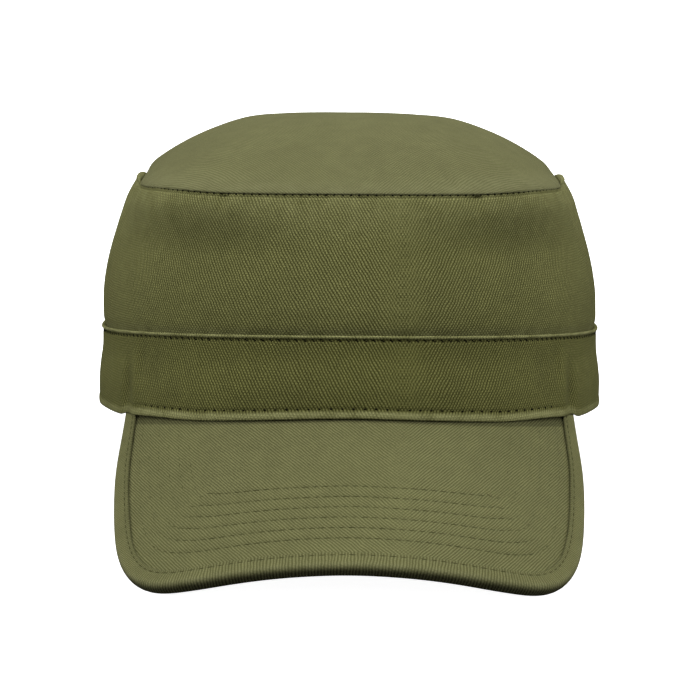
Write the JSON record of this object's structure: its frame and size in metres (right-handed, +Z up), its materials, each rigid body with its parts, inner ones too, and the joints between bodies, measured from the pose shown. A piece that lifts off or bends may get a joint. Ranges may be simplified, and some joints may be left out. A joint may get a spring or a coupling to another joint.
{
  "type": "patrol cap",
  "caption": "Olive twill patrol cap with a domed crown, an upright wall, a sewn band and a stiff arched peak with a bound edge, resting on its peak and the back of its rim.",
  "frame": {"origin": "bottom centre of the box round the cap at rest, on the surface that it rests on", "axes": "+Z up, -Y towards the front of the peak, +X towards the wearer's left side"},
  "size_m": [0.1708, 0.268, 0.1186],
  "materials": {
    "crown_cloth": "olive cotton twill, worn and slightly whitish, matt",
    "wall_cloth": "olive cotton twill, matt",
    "band_cloth": "olive cotton twill, doubled, matt",
    "peak_cloth": "olive cotton twill over a stiff board, stitched in rows, matt",
    "binding_cloth": "olive cotton twill binding, ribbed, matt"
  },
  "bodies": {
    "root": {"crown_top": "crown_cloth", "crown_wall": "wall_cloth", "band": "band_cloth", "peak": "peak_cloth", "peak_binding": "binding_cloth"}
  },
  "joints": []
}
